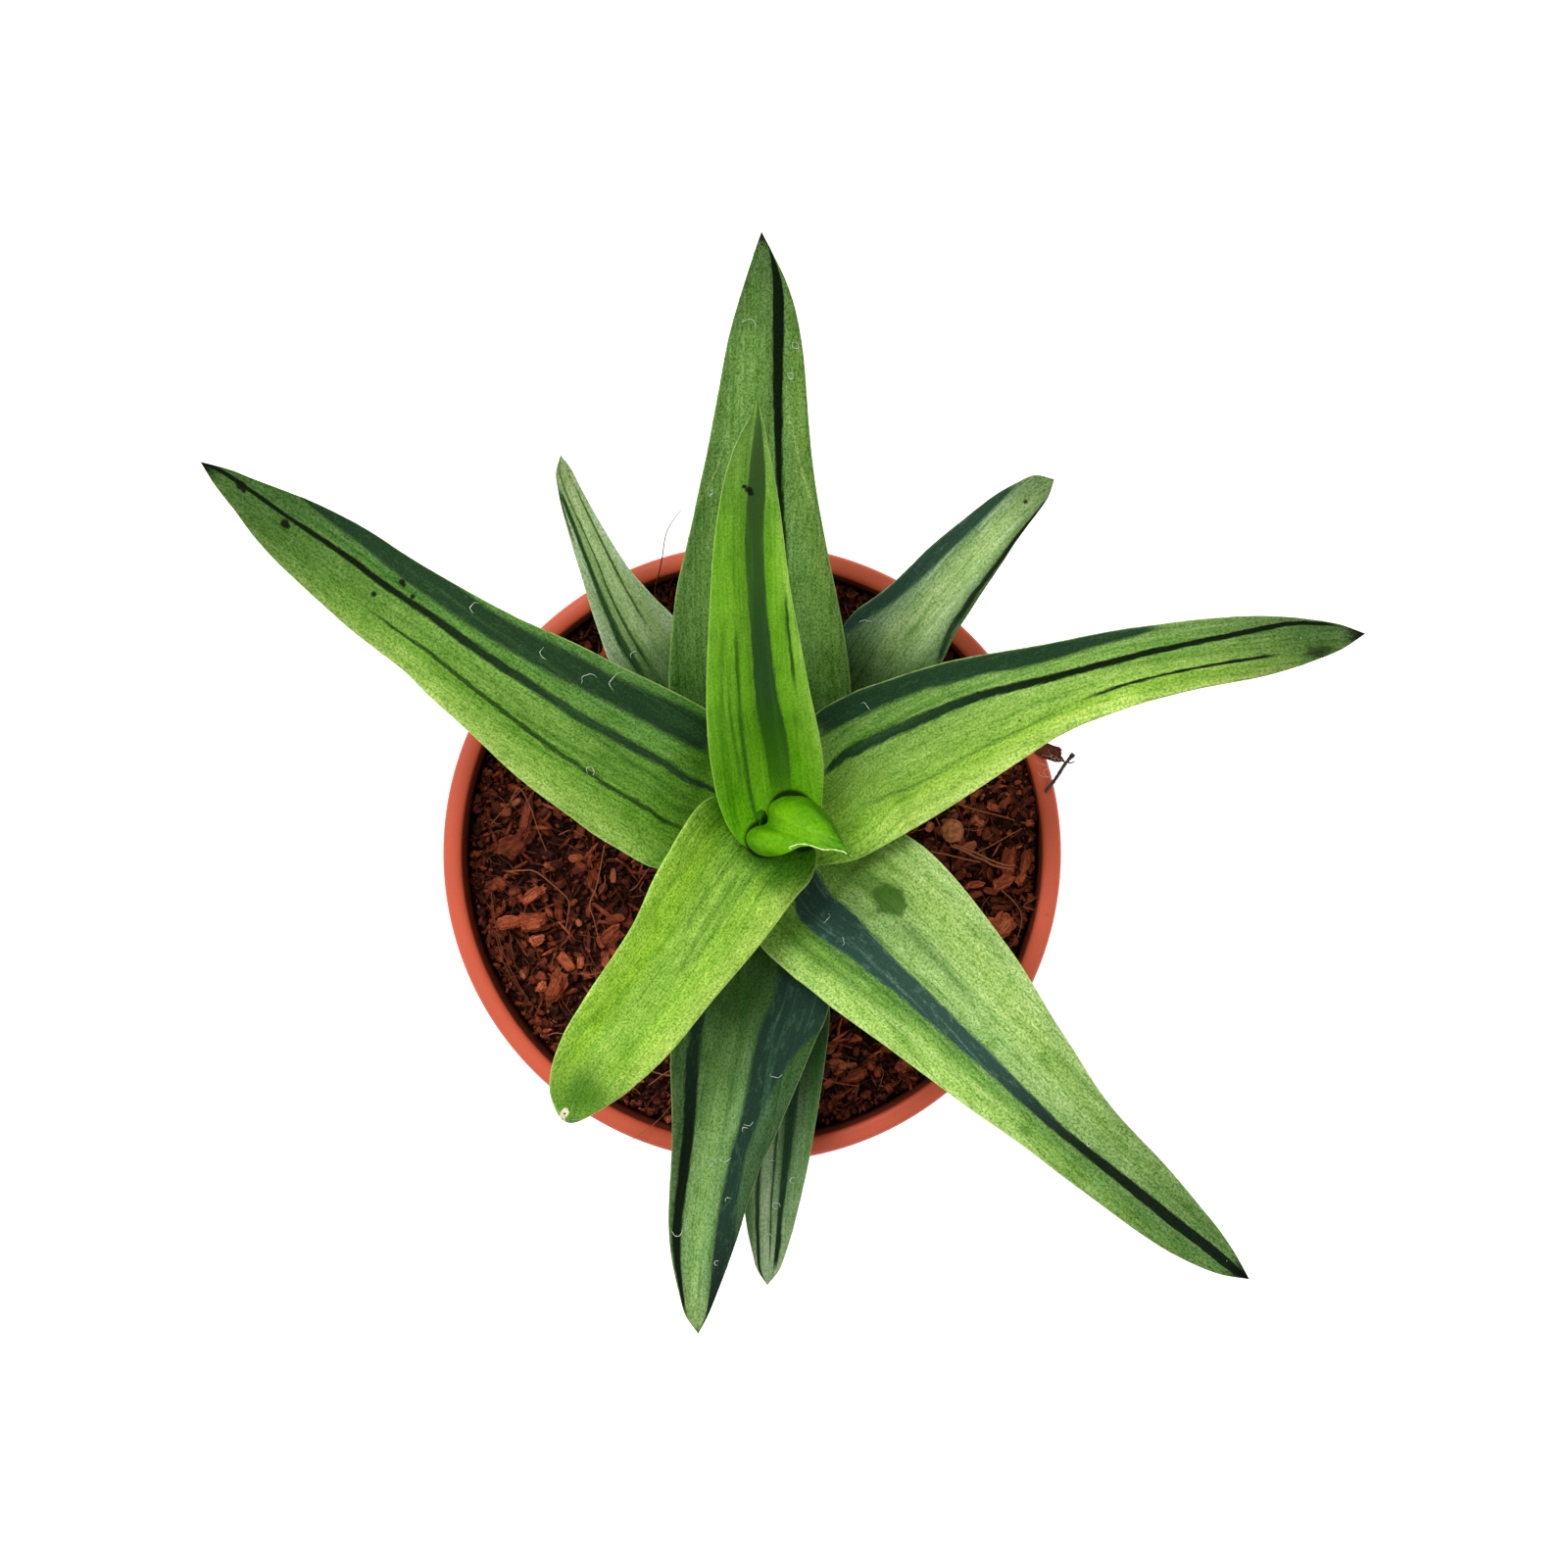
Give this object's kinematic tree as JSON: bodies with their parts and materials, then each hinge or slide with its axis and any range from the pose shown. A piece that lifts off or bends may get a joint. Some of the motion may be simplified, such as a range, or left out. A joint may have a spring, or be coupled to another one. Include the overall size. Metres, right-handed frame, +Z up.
{
  "type": "potted aloe",
  "caption": "Potted succulent: a rosette of long fleshy striped leaves on a short stem, standing in bark mix in a round tapered plastic nursery pot with drain holes.",
  "frame": {"origin": "centre of the pot's flat underside, on the surface it stands on", "axes": "+Z up along the pot's axis; +Y towards the tall back leaf; +X towards the long right leaf"},
  "size_m": [0.2139, 0.2044, 0.194],
  "materials": {
    "pot_plastic": "terracotta-coloured moulded plastic, satin, faint mould lines and scuffs",
    "growing_mix": "dark fibrous bark and coir mix, matt, rough",
    "stem": "short fleshy stem, matt",
    "bark": "reddish-brown bark flakes, matt",
    "clay": "fired clay pellet, matt, porous",
    "young_leaf": "smooth fleshy leaf, bright yellow-green, satin wax, pale thin margins",
    "leaf": "thick fleshy leaf, green with long dark stripes, finely mottled, satin wax, pale thin margins"
  },
  "bodies": {
    "root": {"bark_chip_back_left": "bark", "bark_chip_back_right": "bark", "bark_chip_front": "bark", "bark_chip_front_left": "bark", "bark_chip_left": "bark", "bark_chip_left_low": "bark", "bark_chip_lip": "bark", "bark_chip_right": "bark", "bark_chip_right_low": "bark", "clay_pellet": "clay", "growing_mix": "growing_mix", "leaf_back": "leaf", "leaf_bud": "young_leaf", "leaf_front": "leaf", "leaf_front_right": "leaf", "leaf_heart": "young_leaf", "leaf_inner_back": "young_leaf", "leaf_inner_front_left": "young_leaf", "leaf_left": "leaf", "leaf_right": "leaf", "leaf_small_back_left": "leaf", "leaf_small_back_right": "leaf", "leaf_small_front": "leaf", "lip_twig": "bark", "pot": "pot_plastic", "stem": "stem"}
  },
  "joints": []
}
